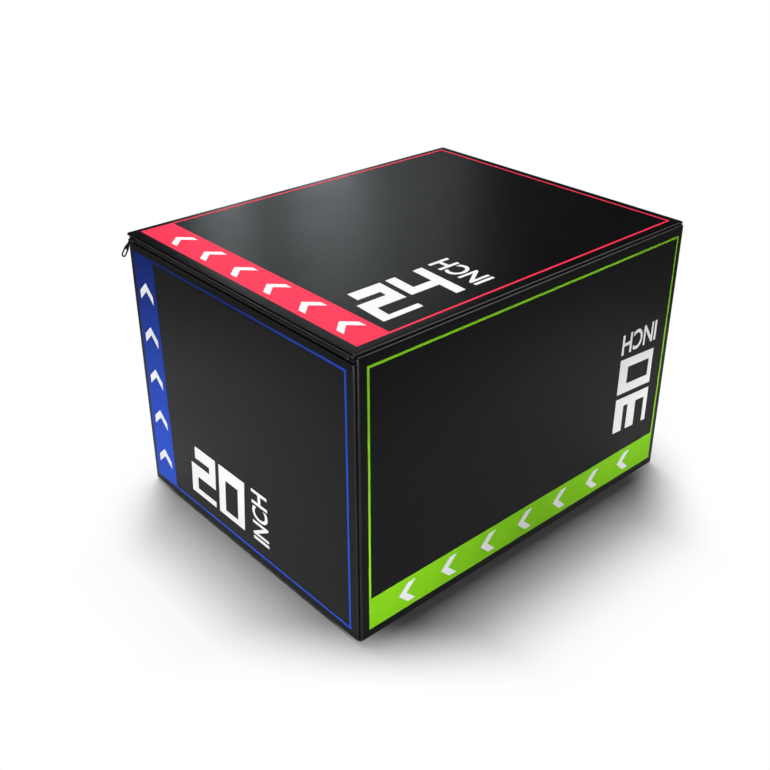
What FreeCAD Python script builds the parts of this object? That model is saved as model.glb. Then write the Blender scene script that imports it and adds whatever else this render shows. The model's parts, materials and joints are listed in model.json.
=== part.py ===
import FreeCAD, Part
import os
from types import SimpleNamespace

import Sketcher

# A soft plyo box, 20 by 24 by 30 inches: a glued plywood carcass, six foam pads around it, and a
# zipped vinyl cover whose top panel folds open as a lid. Lengths are in millimetres. X runs along the
# 30 inch edge, Y along the 24 inch edge and Z up, with the origin at the middle of the bottom face.

SIZES = {
    # The box over its cover
    "box_length": 762.0,
    "box_width": 609.6,
    "box_height": 508.0,
    # Cover: sheet, rolled hem round each panel, and the room behind it
    "cover_thickness": 1.1,
    "hem_radius": 2.75,
    "hem_round_share": 0.96,
    "hem_corner_radius": 7.0,
    "hem_gap": 0.3,
    "cover_clearance": 0.2,
    # Zip: the open height under the lid, and tapes and chains that turn the corners of the box
    "zip_gap": 8.5,
    "zip_corner_radius": 4.0,
    "zip_end_set": 10.0,
    "tape_thickness": 0.6,
    "tape_setback": 2.2,
    "tape_seat_gap": 0.2,
    "chain_thickness": 2.2,
    "chain_gap": 0.2,
    "stop_length": 4.0,
    "stop_thickness": 2.6,
    "stop_edge_radius": 0.5,
    # Slider: two plates joined by a wedge, and the bail that carries the pull
    "slider_length": 13.0,
    "slider_nose_width": 7.8,
    "slider_tail_width": 6.8,
    "slider_nose_share": 0.6,
    "slider_corner_radius": 1.2,
    "slider_corner_gap": 0.6,
    "slider_clearance": 0.15,
    "plate_thickness": 1.0,
    "flange_width": 0.9,
    "tape_slit": 1.2,
    "wedge_set": 0.7,
    "wedge_length": 3.6,
    "wedge_width": 2.4,
    "bail_width": 1.5,
    "bail_bar": 1.5,
    "bail_window": 5.2,
    "bail_post": 1.3,
    "bail_corner_radius": 0.9,
    # Pull: a plate with a curled eye on the bail's bar and a finger hole at its end
    "pull_length": 31.0,
    "pull_width": 13.0,
    "pull_thickness": 1.6,
    "pull_eye_width": 4.4,
    "pull_eye_wall": 0.85,
    "pull_clearance": 0.3,
    "pull_neck": 6.0,
    "pull_shoulder": 14.0,
    "pull_shoulder_radius": 9.0,
    "pull_end_radius": 6.0,
    "pull_rim": 2.3,
    "pull_hole_length": 12.5,
    "pull_hole_radius": 3.9,
    "left_pull_lean_degrees": 32.0,
    # Foam pads
    "foam_thickness": 50.0,
    # Plywood carcass, with tabs glued in notches and two braces that lap each other
    "ply_thickness": 15.0,
    "tab_length": 80.0,
    "joint_clearance": 0.2,
    # How far a cut runs past what it cuts
    "overrun": 2.0,
}
LONG_EDGE_TAB_COUNT = 3
SHORT_EDGE_TAB_COUNT = 2
UPRIGHT_TAB_COUNT = 2

X, Y, Z = range(3)
AXIS_ACROSS = {"XY_Plane": Z, "XZ_Plane": Y, "YZ_Plane": X}

doc = FreeCAD.newDocument("plyo_box")
sizes = doc.addObject("Spreadsheet::Sheet", "Sizes")
for row, (size_name, size_value) in enumerate(SIZES.items(), start=1):
    sizes.set(f"A{row}", size_name)
    sizes.set(f"B{row}", str(size_value))
    sizes.setAlias(f"B{row}", size_name)
doc.recompute()

# Each size as the expression that reads its cell
S = SimpleNamespace(**{size_name: f"Sizes.{size_name}" for size_name in SIZES})
nodes = []


def number(expression):
    """The value of an expression in the sheet's sizes."""
    return float(sizes.evalExpression(expression))


# Places that several pieces share, as expressions
hem_set = f"({S.hem_radius} * sqrt(2) + {S.hem_gap} / sqrt(2))"
hem_depth = f"(2 * {S.hem_radius})"
wall_top = f"({S.box_height} - {hem_depth} - {S.zip_gap})"
zip_middle = f"({wall_top} + {S.zip_gap} / 2)"
zip_end_y = f"({hem_set} + {S.hem_radius} + {S.zip_end_set} - {S.box_width} / 2)"
foam_set = f"({S.cover_thickness} + {S.cover_clearance})"
core_set = f"({foam_set} + {S.foam_thickness})"
core_length = f"({S.box_length} - 2 * {core_set})"
core_width = f"({S.box_width} - 2 * {core_set})"
core_top = f"({S.box_height} - {core_set})"
middle_z = f"({S.box_height} / 2)"

# An edge's box is a little larger than the edge, by less than the finest clearance
EDGE_BOX_ROOM = number(f"{S.joint_clearance} / 10")


def centred(size, inset="0"):
    """The low and high end of a size centred on the origin, with both ends drawn in."""
    return f"({inset} - {size} / 2)", f"({size} / 2 - {inset})"


def around(middle, size):
    """The low and high end of a size about a place."""
    return f"({middle} - {size} / 2)", f"({middle} + {size} / 2)"


def shifted(ends, low, high):
    """A range with something added to its low end and to its high end."""
    return f"({ends[0]} + {low})", f"({ends[1]} + {high})"


def spread(count, length, middle="0"):
    """The middles of equal shares of a length."""
    return [f"({middle} + {length} * {(2 * i + 1 - count) / (2 * count)})" for i in range(count)]


def new_body(label):
    body = doc.addObject("PartDesign::Body", label)
    body.Label = label
    return body


def keep(piece, label):
    """Marks a finished object as a node of the part."""
    piece.Label = label
    nodes.append(piece)
    return piece


def new_sketch(body, role, offset="0"):
    """A sketch on one of the body's own origin planes, moved along that plane's normal."""
    sketch = body.newObject("Sketcher::SketchObject", "Sketch")
    plane = next(feature for feature in body.Origin.OriginFeatures if feature.Role == role)
    sketch.AttachmentSupport = [(plane, "")]
    sketch.MapMode = "FlatFace"
    sketch.setExpression("AttachmentOffset.Base.z", offset)
    return sketch


def hold(sketch, kind, line, expression):
    """Holds the start of a line at its distance from the sketch's origin."""
    index = sketch.addConstraint(Sketcher.Constraint(kind, -1, 1, line, 1, number(expression)))
    sketch.setExpression(f"Constraints[{index}]", expression)


def draw_outline(sketch, points):
    """A closed outline of straight lines through points given as expressions."""
    first = sketch.GeometryCount
    spots = [FreeCAD.Vector(number(u), number(v), 0) for u, v in points]
    for start, end in zip(spots, spots[1:] + spots[:1]):
        sketch.addGeometry(Part.LineSegment(start, end))
    for i in range(len(points)):
        after = first + (i + 1) % len(points)
        sketch.addConstraint(Sketcher.Constraint("Coincident", first + i, 2, after, 1))
    for line, (u, v) in enumerate(points, start=first):
        hold(sketch, "DistanceX", line, u)
        hold(sketch, "DistanceY", line, v)


def draw_rectangle(sketch, u_ends, v_ends):
    (u_low, u_high), (v_low, v_high) = u_ends, v_ends
    draw_outline(sketch, [(u_low, v_low), (u_high, v_low), (u_high, v_high), (u_low, v_high)])


def draw_circle(sketch, radius):
    """A circle about the sketch's origin."""
    circle = Part.Circle(FreeCAD.Vector(0, 0, 0), FreeCAD.Vector(0, 0, 1), number(radius))
    ring = sketch.addGeometry(circle)
    sketch.addConstraint(Sketcher.Constraint("Coincident", ring, 3, -1, 1))
    index = sketch.addConstraint(Sketcher.Constraint("Radius", ring, number(radius)))
    sketch.setExpression(f"Constraints[{index}]", radius)


def extrude(body, kind, sketch, length, backwards=False, both_sides=False):
    """A Pad or a Pocket of a sketch. A pocket has to take something away."""
    before = body.Shape.Volume if kind == "Pocket" else None
    feature = body.newObject(f"PartDesign::{kind}", kind)
    feature.Profile = sketch
    feature.setExpression("Length", length)
    feature.Reversed = backwards
    if both_sides:
        feature.SideType = "Symmetric"
    doc.recompute()
    if before is not None and not body.Shape.Volume < before:
        raise RuntimeError(f"{body.Label}: a pocket takes nothing away")


def reach(edge, axis):
    """The lowest and highest place of an edge along an axis."""
    box = edge.BoundBox
    return ((box.XMin, box.XMax), (box.YMin, box.YMax), (box.ZMin, box.ZMax))[axis]


def is_flat(edge, axis):
    """Whether an edge stays at one place along an axis."""
    low, high = reach(edge, axis)
    return high - low < EDGE_BOX_ROOM


def is_at(edge, axis, expression):
    return all(abs(place - number(expression)) < EDGE_BOX_ROOM for place in reach(edge, axis))


def runs_along(edge, axis):
    """Whether an edge changes its place along this axis alone."""
    return all(is_flat(edge, other) == (other != axis) for other in (X, Y, Z))


def dress(body, kind, size, wanted):
    """Rounds (Fillet) or bevels (Chamfer) the edges of a body that pass a test."""
    base = body.Tip
    names = [f"Edge{i}" for i, edge in enumerate(base.Shape.Edges, start=1) if wanted(edge)]
    if not names:
        raise RuntimeError(f"{body.Label}: no edge to dress")
    feature = body.newObject(f"PartDesign::{kind}", kind)
    feature.Base = (base, names)
    feature.setExpression({"Fillet": "Radius", "Chamfer": "Size"}[kind], size)
    doc.recompute()


def cover_panel(label, role, outer_face, inwards, u_ends, v_ends):
    """A sheet of the cover whose edges are rolled into a round hem.

    outer_face is its place along the plane's normal, and inwards is 1 or -1 along that normal.
    """
    body = new_body(label)
    across = AXIS_ACROSS[role]
    outline = new_sketch(body, role, outer_face)
    draw_rectangle(outline, u_ends, v_ends)
    extrude(body, "Pad", outline, hem_depth, backwards=inwards < 0)
    dress(body, "Fillet", S.hem_corner_radius, lambda edge: runs_along(edge, across))
    hem_round = f"{S.hem_radius} * {S.hem_round_share}"
    dress(body, "Fillet", hem_round, lambda edge: is_flat(edge, across))
    field = new_sketch(body, role, f"{outer_face} + {inwards} * {hem_depth}")
    drawn_in = (hem_depth, f"(-{hem_depth})")
    draw_rectangle(field, shifted(u_ends, *drawn_in), shifted(v_ends, *drawn_in))
    extrude(body, "Pocket", field, f"{hem_depth} - {S.cover_thickness}", backwards=inwards < 0)
    keep(body, label)


def make_cover():
    """Six panels. Hems meet in ditch seams, but under three edges of the lid the walls stop lower."""
    seam_x = centred(S.box_length, hem_set)
    seam_y = centred(S.box_width, hem_set)
    full_wall = (hem_set, f"({S.box_height} - {hem_set})")
    zip_wall = (hem_set, wall_top)
    lid_y = (f"({hem_set} - {S.box_width} / 2)", f"({S.box_width} / 2)")
    half_length = f"{S.box_length} / 2"
    half_width = f"{S.box_width} / 2"
    cover_panel("cover_lid", "XY_Plane", S.box_height, -1, centred(S.box_length), lid_y)
    cover_panel("cover_bottom", "XY_Plane", "0", 1, seam_x, seam_y)
    cover_panel("cover_front", "XZ_Plane", half_width, -1, seam_x, full_wall)
    cover_panel("cover_back", "XZ_Plane", f"-{half_width}", 1, seam_x, zip_wall)
    cover_panel("cover_left", "YZ_Plane", f"-{half_length}", 1, seam_y, zip_wall)
    cover_panel("cover_right", "YZ_Plane", half_length, -1, seam_y, zip_wall)


def foam_pad(label, x_ends, y_ends, z_ends, bevel=None, bevelled=None):
    """A slab of foam, bevelled along the edges that lie behind a seam."""
    body = new_body(label)
    outline = new_sketch(body, "XY_Plane", z_ends[0])
    draw_rectangle(outline, x_ends, y_ends)
    extrude(body, "Pad", outline, f"{z_ends[1]} - {z_ends[0]}")
    if bevelled:
        dress(body, "Chamfer", bevel, bevelled)
    keep(body, label)


def make_foam():
    """Six pads: top and bottom are full slabs, front and back run the full length between them."""
    # A bevel that clears the hems has its two legs add up to this, measured from the outer faces
    seam_room = f"({hem_set} + 2 * {hem_depth} + sqrt(2) * {S.hem_gap})"
    seam_bevel = f"({seam_room} - 2 * {foam_set})"
    zip_set = f"({hem_depth} + {S.hem_gap})"
    top_bevel = f"({seam_room} - {zip_set} - {foam_set})"
    face_x = centred(S.box_length, foam_set)
    face_y = centred(S.box_width, foam_set)
    core_y = centred(core_width)
    core_x = centred(core_length)
    core_z = (core_set, core_top)
    top = f"({S.box_height} - {foam_set})"
    foam_pad(
        "foam_bottom",
        face_x,
        face_y,
        (foam_set, core_set),
        seam_bevel,
        lambda edge: runs_along(edge, Z) or is_at(edge, Z, foam_set),
    )
    foam_pad(
        "foam_top",
        centred(S.box_length, zip_set),
        centred(S.box_width, zip_set),
        (core_top, top),
        top_bevel,
        lambda edge: runs_along(edge, Z) or is_at(edge, Z, top),
    )
    front_y = (face_y[0], core_y[0])
    back_y = (core_y[1], face_y[1])
    for label, y_ends, outer in (("foam_front", front_y, 0), ("foam_back", back_y, 1)):
        foam_pad(
            label,
            face_x,
            y_ends,
            core_z,
            seam_bevel,
            lambda edge: runs_along(edge, Z) and is_at(edge, Y, face_y[outer]),
        )
    foam_pad("foam_left", (face_x[0], core_x[0]), core_y, core_z)
    foam_pad("foam_right", (core_x[1], face_x[1]), core_y, core_z)


def plywood(label, role, low_face, board, tabs=(), notches=()):
    """A plywood board one thickness deep, with tabs added to its outline and notches cut from it."""
    body = new_body(label)
    outline = new_sketch(body, role, low_face)
    draw_rectangle(outline, *board)
    extrude(body, "Pad", outline, S.ply_thickness)
    if tabs:
        added = new_sketch(body, role, low_face)
        for tab in tabs:
            draw_rectangle(added, *tab)
        extrude(body, "Pad", added, S.ply_thickness)
    if notches:
        cut = new_sketch(body, role, low_face)
        for notch in notches:
            draw_rectangle(cut, *notch)
        through = f"2 * ({S.ply_thickness} + {S.overrun})"
        extrude(body, "Pocket", cut, through, both_sides=True)
    keep(body, label)


def edge_tabs(places, ends):
    """Tabs centred on these places, which stand out past both ends by one board."""
    low, high = ends
    out = S.ply_thickness
    tabs = []
    for place in places:
        tabs.append((around(place, S.tab_length), (f"({low} - {out})", low)))
        tabs.append((around(place, S.tab_length), (high, f"({high} + {out})")))
    return tabs


def edge_notches(places, ends):
    """Notches for such tabs, cut in from both ends of a board."""
    low, high = ends
    width = f"({S.tab_length} + 2 * {S.joint_clearance})"
    depth = f"({S.ply_thickness} + {S.joint_clearance})"
    notches = []
    for place in places:
        notches.append((around(place, width), (f"({low} - {S.overrun})", f"({low} + {depth})")))
        notches.append((around(place, width), (f"({high} - {depth})", f"({high} + {S.overrun})")))
    return notches


def turned(rectangles):
    """The same rectangles with their two directions exchanged."""
    return [(v_ends, u_ends) for u_ends, v_ends in rectangles]


def make_carcass():
    """Six boards tabbed into each other, and two braces between them."""
    ply = S.ply_thickness
    inner = (f"({core_set} + {ply})", f"({core_top} - {ply})")
    inner_height = f"({inner[1]} - {inner[0]})"
    full_x = centred(core_length)
    full_y = centred(core_width)
    between_x = centred(core_length, ply)
    between_y = centred(core_width, ply)
    long_places = spread(LONG_EDGE_TAB_COUNT, core_length)
    short_places = spread(SHORT_EDGE_TAB_COUNT, core_width)
    upright_places = spread(UPRIGHT_TAB_COUNT, inner_height, middle_z)
    flat_notches = edge_notches(long_places, full_y) + turned(edge_notches(short_places, full_x))
    end_notches = turned(edge_notches(upright_places, full_x))
    long_tabs = edge_tabs(long_places, inner)
    side_tabs = edge_tabs(short_places, inner) + turned(edge_tabs(upright_places, between_y))
    lap = f"({ply} + 2 * {S.joint_clearance})"
    lap_down = (f"({middle_z} - {S.joint_clearance} / 2)", f"({inner[1]} + {S.overrun})")
    lap_up = (f"({inner[0]} - {S.overrun})", f"({middle_z} + {S.joint_clearance} / 2)")
    front_face = f"({core_width} / 2 - {ply})"
    back_face = f"(-{core_width} / 2)"
    right_face = f"({core_length} / 2 - {ply})"
    left_face = f"(-{core_length} / 2)"
    mid_face = f"(-{ply} / 2)"
    plywood("carcass_base", "XY_Plane", core_set, (full_x, full_y), notches=flat_notches)
    plywood("carcass_top", "XY_Plane", inner[1], (full_x, full_y), notches=flat_notches)
    plywood("carcass_front", "XZ_Plane", front_face, (full_x, inner), long_tabs, end_notches)
    plywood("carcass_back", "XZ_Plane", back_face, (full_x, inner), long_tabs, end_notches)
    plywood("carcass_left", "YZ_Plane", left_face, (between_y, inner), side_tabs)
    plywood("carcass_right", "YZ_Plane", right_face, (between_y, inner), side_tabs)
    long_lap = [(around("0", lap), lap_down)]
    cross_lap = [(around("0", lap), lap_up)]
    plywood("carcass_long_brace", "XZ_Plane", mid_face, (between_x, inner), notches=long_lap)
    plywood("carcass_cross_brace", "YZ_Plane", mid_face, (between_y, inner), notches=cross_lap)


def zip_strip(label, points, thickness, z_ends, corners):
    """A strip of the zip that stands on its edge and turns the corners of the box."""
    body = new_body(label)
    outline = new_sketch(body, "XY_Plane", z_ends[0])
    draw_outline(outline, points)
    extrude(body, "Pad", outline, f"{z_ends[1]} - {z_ends[0]}")
    for side, (x, y) in corners:
        radius = f"{S.zip_corner_radius} + {side} * {thickness} / 2"
        dress(
            body,
            "Fillet",
            radius,
            lambda edge: runs_along(edge, Z) and is_at(edge, X, x) and is_at(edge, Y, y),
        )
    keep(body, label)


def strip_faces(thickness):
    """Half extents of the outer and inner face of a strip that stands behind the middle of the hems."""
    outer = f"({S.hem_radius} - {thickness} / 2)"
    inner = f"({S.hem_radius} + {thickness} / 2)"
    half_length = f"({S.box_length} / 2)"
    half_width = f"({S.box_width} / 2)"
    return [(f"({half_length} - {recess})", f"({half_width} - {recess})") for recess in (outer, inner)]


def slider_place(size):
    """How far a parked slider's middle lies from the middle of the box along its run."""
    corner = f"({S.hem_radius} + {S.zip_corner_radius} + {S.slider_corner_gap})"
    return f"({size} / 2 - {corner} - {S.slider_length} / 2)"


def make_zip_strips():
    """Two tapes on three sides, and on each tape a chain that ends at the parked sliders' wedges."""
    lid_seat = f"({S.box_height} - {hem_depth} - {S.tape_seat_gap})"
    wall_seat = f"({wall_top} + {S.tape_seat_gap})"
    upper_tape = (f"({zip_middle} + {S.tape_setback})", lid_seat)
    lower_tape = (wall_seat, f"({zip_middle} - {S.tape_setback})")
    upper_chain = (f"({zip_middle} + {S.chain_gap} / 2)", f"({zip_middle} + {S.tape_setback})")
    lower_chain = (f"({zip_middle} - {S.tape_setback})", f"({zip_middle} - {S.chain_gap} / 2)")
    (ox, oy), (ix, iy) = strip_faces(S.tape_thickness)
    tape = [(f"-{ox}", zip_end_y), (f"-{ox}", oy), (ox, oy), (ox, zip_end_y)]
    tape += [(ix, zip_end_y), (ix, iy), (f"-{ix}", iy), (f"-{ix}", zip_end_y)]
    bends = [(1, (f"-{ox}", oy)), (1, (ox, oy)), (-1, (f"-{ix}", iy)), (-1, (ix, iy))]
    for label, z_ends in (("zip_tape_upper", upper_tape), ("zip_tape_lower", lower_tape)):
        zip_strip(label, tape, S.tape_thickness, z_ends, bends)
    (ox, oy), (ix, iy) = strip_faces(S.chain_thickness)
    behind_wedge = f"({S.slider_length} / 2 - {S.wedge_set} - {S.wedge_length} - {S.slider_clearance})"
    start_y = f"({zip_end_y} + {S.stop_length})"
    end_y = f"({slider_place(S.box_width)} + {behind_wedge})"
    start_x = f"(-{slider_place(S.box_length)} - {behind_wedge})"
    left_run = [(f"-{ox}", start_y), (f"-{ix}", start_y), (f"-{ix}", end_y), (f"-{ox}", end_y)]
    back_run = [(start_x, oy), (ox, oy), (ox, start_y), (ix, start_y), (ix, iy), (start_x, iy)]
    back_bends = [(1, (ox, oy)), (-1, (ix, iy))]
    for side, z_ends in (("upper", upper_chain), ("lower", lower_chain)):
        zip_strip(f"zip_chain_{side}_left", left_run, S.chain_thickness, z_ends, [])
        zip_strip(f"zip_chain_{side}_back", back_run, S.chain_thickness, z_ends, back_bends)


def zip_stop(label, side):
    """A small block pressed on the end of the chains, at the hinge end of a side's run."""
    body = new_body(label)
    outline = new_sketch(body, "XY_Plane", f"{zip_middle} - {S.tape_setback}")
    middle = f"({side} * ({S.box_length} / 2 - {S.hem_radius}))"
    along = (zip_end_y, f"({zip_end_y} + {S.stop_length})")
    draw_rectangle(outline, around(middle, S.stop_thickness), along)
    extrude(body, "Pad", outline, f"2 * {S.tape_setback}")
    dress(body, "Fillet", S.stop_edge_radius, lambda edge: runs_along(edge, Z))
    return body


def make_zip_stops():
    stops = doc.addObject("Part::Compound", "zip_stops")
    stops.Links = [zip_stop("left_stop", -1), zip_stop("right_stop", 1)]
    keep(stops, "zip_stops")


# Sizes of the bail's bar and of the eye that turns on it
plate_face = f"({S.chain_thickness} / 2 + {S.slider_clearance} + {S.plate_thickness})"
eye_bore = f"({S.bail_bar} * sqrt(2) / 2 + {S.pull_clearance})"
eye_radius = f"({eye_bore} + {S.pull_eye_wall})"
bar_middle = f"({plate_face} + {eye_radius} + {S.pull_clearance})"


def mirrored(points):
    """An outline closed by the same points on the other side of the sketch's first axis."""
    return points + [(u, f"(-{v})") for u, v in reversed(points)]


def zip_slider(label, place, turn):
    """A slider drawn with its tail towards +X and its outer plate towards +Z, then set on its run."""
    body = new_body(label)
    nose = f"(-{S.slider_length} / 2)"
    tail = f"({S.slider_length} / 2)"
    shoulder = f"({nose} + {S.slider_length} * {S.slider_nose_share})"
    nose_half = f"({S.slider_nose_width} / 2)"
    tail_half = f"({S.slider_tail_width} / 2)"
    block = new_sketch(body, "XY_Plane")
    draw_outline(block, mirrored([(nose, nose_half), (shoulder, nose_half), (tail, tail_half)]))
    extrude(body, "Pad", block, f"2 * {plate_face}", both_sides=True)
    dress(body, "Fillet", S.slider_corner_radius, lambda edge: runs_along(edge, Z))

    mouth_half = f"({nose_half} - {S.flange_width})"
    throat_half = f"({S.tape_setback} + {S.slider_clearance})"
    ahead = f"({nose} - {S.overrun})"
    past = f"({tail} + {S.overrun})"
    channel = new_sketch(body, "XY_Plane")
    mouth = [(ahead, mouth_half), (shoulder, mouth_half)]
    throat = [(tail, throat_half), (past, throat_half)]
    draw_outline(channel, mirrored(mouth + throat))
    wedge_nose = f"({nose} + {S.wedge_set})"
    wedge_middle = f"({wedge_nose} + {S.wedge_length} / 2)"
    wedge_tail = f"({wedge_nose} + {S.wedge_length})"
    wedge_half = f"({S.wedge_width} / 2)"
    wedge_sides = [(wedge_middle, wedge_half), (wedge_tail, "0"), (wedge_middle, f"(-{wedge_half})")]
    draw_outline(channel, [(wedge_nose, "0")] + wedge_sides)
    extrude(body, "Pocket", channel, f"2 * ({plate_face} - {S.plate_thickness})", both_sides=True)

    slits = new_sketch(body, "XY_Plane")
    outside = f"({nose_half} + {S.overrun})"
    draw_rectangle(slits, (ahead, past), (S.tape_setback, outside))
    draw_rectangle(slits, (ahead, past), (f"(-{outside})", f"(-{S.tape_setback})"))
    extrude(body, "Pocket", slits, S.tape_slit, both_sides=True)

    bail = new_sketch(body, "XZ_Plane")
    window_half = f"({S.bail_window} / 2)"
    bail_half = f"({window_half} + {S.bail_post})"
    root = f"({plate_face} - {S.plate_thickness} / 2)"
    bar_low = f"({bar_middle} - {S.bail_bar} / 2)"
    bar_high = f"({bar_middle} + {S.bail_bar} / 2)"
    draw_rectangle(bail, (f"(-{bail_half})", bail_half), (root, bar_high))
    draw_rectangle(bail, (f"(-{window_half})", window_half), (plate_face, bar_low))
    extrude(body, "Pad", bail, S.bail_width, both_sides=True)
    top_corners = lambda edge: runs_along(edge, Y) and is_at(edge, Z, bar_high)
    dress(body, "Fillet", S.bail_corner_radius, top_corners)
    set_down(body, place, turn)
    keep(body, label)


def zip_pull(label, place, turn):
    """A pull drawn hanging along -Z with its eye about X, then hung on its bail."""
    body = new_body(label)
    eye = new_sketch(body, "YZ_Plane")
    draw_circle(eye, eye_radius)
    extrude(body, "Pad", eye, S.pull_eye_width, both_sides=True)

    half = f"({S.pull_width} / 2)"
    neck = f"({S.pull_eye_width} / 2)"
    top = f"(-{eye_bore})"
    end = f"(-{S.pull_length})"
    right = [(neck, top), (neck, f"(-{S.pull_neck})"), (half, f"(-{S.pull_shoulder})"), (half, end)]
    left = [(f"(-{u})", v) for u, v in reversed(right)]
    plate = new_sketch(body, "XZ_Plane")
    draw_outline(plate, right + left)
    extrude(body, "Pad", plate, S.pull_thickness, both_sides=True)
    for size, low in ((S.pull_end_radius, S.pull_length), (S.pull_shoulder_radius, S.pull_shoulder)):
        dress(body, "Fillet", size, lambda edge: runs_along(edge, Y) and is_at(edge, Z, f"-{low}"))

    bore = new_sketch(body, "YZ_Plane")
    draw_circle(bore, eye_bore)
    extrude(body, "Pocket", bore, f"{S.pull_eye_width} + {S.overrun}", both_sides=True)

    hole = new_sketch(body, "XZ_Plane")
    hole_half = f"({half} - {S.pull_rim})"
    hole_low = f"({S.pull_rim} - {S.pull_length})"
    hole_high = f"({hole_low} + {S.pull_hole_length})"
    draw_rectangle(hole, (f"(-{hole_half})", hole_half), (hole_low, hole_high))
    extrude(body, "Pocket", hole, f"{S.pull_thickness} + {S.overrun}", both_sides=True)
    for corner_x in (f"(-{hole_half})", hole_half):
        for corner_z in (hole_low, hole_high):
            dress(
                body,
                "Fillet",
                S.pull_hole_radius,
                lambda edge: runs_along(edge, Y) and is_at(edge, X, corner_x) and is_at(edge, Z, corner_z),
            )
    set_down(body, place, turn)
    keep(body, label)


def set_down(body, place, turn):
    """Moves a body drawn about the origin to its place, turned."""
    body.Placement = FreeCAD.Placement(FreeCAD.Vector(0, 0, 0), turn)
    for axis, expression in zip("xyz", place):
        body.setExpression(f"Placement.Base.{axis}", expression)
    doc.recompute()


def make_sliders():
    """One slider on the left run and one on the back run, parked nose to nose at the corner."""
    left_y = slider_place(S.box_width)
    back_x = f"(-{slider_place(S.box_length)})"
    tape_x = f"({S.hem_radius} - {S.box_length} / 2)"
    tape_y = f"({S.box_width} / 2 - {S.hem_radius})"
    left_turn = FreeCAD.Rotation(
        FreeCAD.Vector(0, -1, 0), FreeCAD.Vector(0, 0, 1), FreeCAD.Vector(-1, 0, 0), "XYZ"
    )
    back_turn = FreeCAD.Rotation(
        FreeCAD.Vector(1, 0, 0), FreeCAD.Vector(0, 0, -1), FreeCAD.Vector(0, 1, 0), "XYZ"
    )
    zip_slider("zip_slider_left", (tape_x, left_y, zip_middle), left_turn)
    zip_slider("zip_slider_back", (back_x, tape_y, zip_middle), back_turn)
    bar_x = f"({tape_x} - {bar_middle})"
    bar_y = f"({tape_y} + {bar_middle})"
    along_left_run = FreeCAD.Rotation(FreeCAD.Vector(1, 0, 0), FreeCAD.Vector(0, 1, 0))
    lean = FreeCAD.Rotation(FreeCAD.Vector(0, 1, 0), number(S.left_pull_lean_degrees))
    zip_pull("zip_pull_left", (bar_x, left_y, zip_middle), lean * along_left_run)
    zip_pull("zip_pull_back", (back_x, bar_y, zip_middle), FreeCAD.Rotation())


make_carcass()
make_foam()
make_cover()
make_zip_strips()
make_zip_stops()
make_sliders()
doc.recompute()

for made in doc.Objects:
    if {"Invalid", "Error"} & set(made.State):
        raise RuntimeError(f"{made.Label} failed")
for node in nodes:
    if node.Shape.isNull() or not node.Shape.isValid():
        raise RuntimeError(f"{node.Label} has no valid shape")

os.makedirs("parts", exist_ok=True)
for node in nodes:
    node.Shape.exportStep(f"parts/{node.Label}.step")
    print(f"{node.Label}: {len(node.Shape.Solids)} solids, {node.Shape.Volume:.0f} cubic mm")
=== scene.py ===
"""Soft plyo box, dressed: a zipped black vinyl cover with coloured print over foam pads and a plywood carcass.

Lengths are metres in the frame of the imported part: +Z up, the origin in the middle of the base, the side
marked 20 at -X, the side marked 30 at -Y and the side marked 24 on top.
"""

import json
import math

import bmesh
import bpy
from mathutils import Matrix, Vector, noise

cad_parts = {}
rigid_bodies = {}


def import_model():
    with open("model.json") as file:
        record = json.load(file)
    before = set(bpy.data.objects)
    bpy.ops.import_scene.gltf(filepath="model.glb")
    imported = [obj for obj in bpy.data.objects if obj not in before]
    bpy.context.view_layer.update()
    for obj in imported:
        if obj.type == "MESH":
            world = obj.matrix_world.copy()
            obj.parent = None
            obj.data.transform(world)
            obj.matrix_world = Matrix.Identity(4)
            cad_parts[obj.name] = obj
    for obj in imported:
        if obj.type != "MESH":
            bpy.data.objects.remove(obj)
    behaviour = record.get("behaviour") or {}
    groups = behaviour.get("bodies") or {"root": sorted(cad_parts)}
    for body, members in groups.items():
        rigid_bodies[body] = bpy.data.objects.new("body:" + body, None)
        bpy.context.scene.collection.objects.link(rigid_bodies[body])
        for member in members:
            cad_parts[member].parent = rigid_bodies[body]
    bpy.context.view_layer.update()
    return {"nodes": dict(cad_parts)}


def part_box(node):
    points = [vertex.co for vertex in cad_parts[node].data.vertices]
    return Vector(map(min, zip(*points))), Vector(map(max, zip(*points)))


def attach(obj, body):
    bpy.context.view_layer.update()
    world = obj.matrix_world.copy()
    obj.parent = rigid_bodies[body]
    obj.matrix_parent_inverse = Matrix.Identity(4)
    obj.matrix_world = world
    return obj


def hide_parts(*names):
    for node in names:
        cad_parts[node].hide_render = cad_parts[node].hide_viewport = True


MM = 0.001

# Cover
SHEET = 1.1 * MM
HEM_ROUND = 2.64 * MM
HEM_CORNER = 3.6 * MM
HEM_STEPS = 7
RIPPLE = 0.35 * MM
RIPPLE_LENGTH = 170.0 * MM
RIPPLE_FADE = 70.0 * MM
RIPPLE_APART = 7.3
GRID_STEP = 24.0 * MM

# Print
FILM = 0.12 * MM
FILM_SUNK = 1.5
DIGIT_WIDTH = 75.8
DIGIT_ROWS = (0.0, 12.6, 40.3, 66.3, 80.4, 107.0)
DIGIT_STEM = 19.5
DIGIT_GAP = 10.8
DIGIT_HOOK = 12.4
DIGIT_CROSSBAR = 19.6
DIGIT_LEAN = 4.15
LETTERS = {"I": (0.0, 6.2), "N": (10.2, 39.0), "C": (43.0, 70.3), "H": (74.3, 103.1)}
LETTER_BOLD = 0.018
ARROW_RISE = 19.8
ARROW_THICKNESS = 16.1
LINE = 4.2
# Painted shade on the blue print: the heights and depths over which its ink darkens towards the top and back of the
# box, and the least share of it at the front
PAINTED_SHADE_RISE = (0.10, 0.50)
PAINTED_SHADE_DEPTH = (-0.33, 0.0)
PAINTED_SHADE_LEAST = 0.2

# Inside
FOAM_EDGE = 2.5 * MM
FOAM_DIP = 0.6 * MM
FOAM_DIPS_PER_METRE = 18

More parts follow.
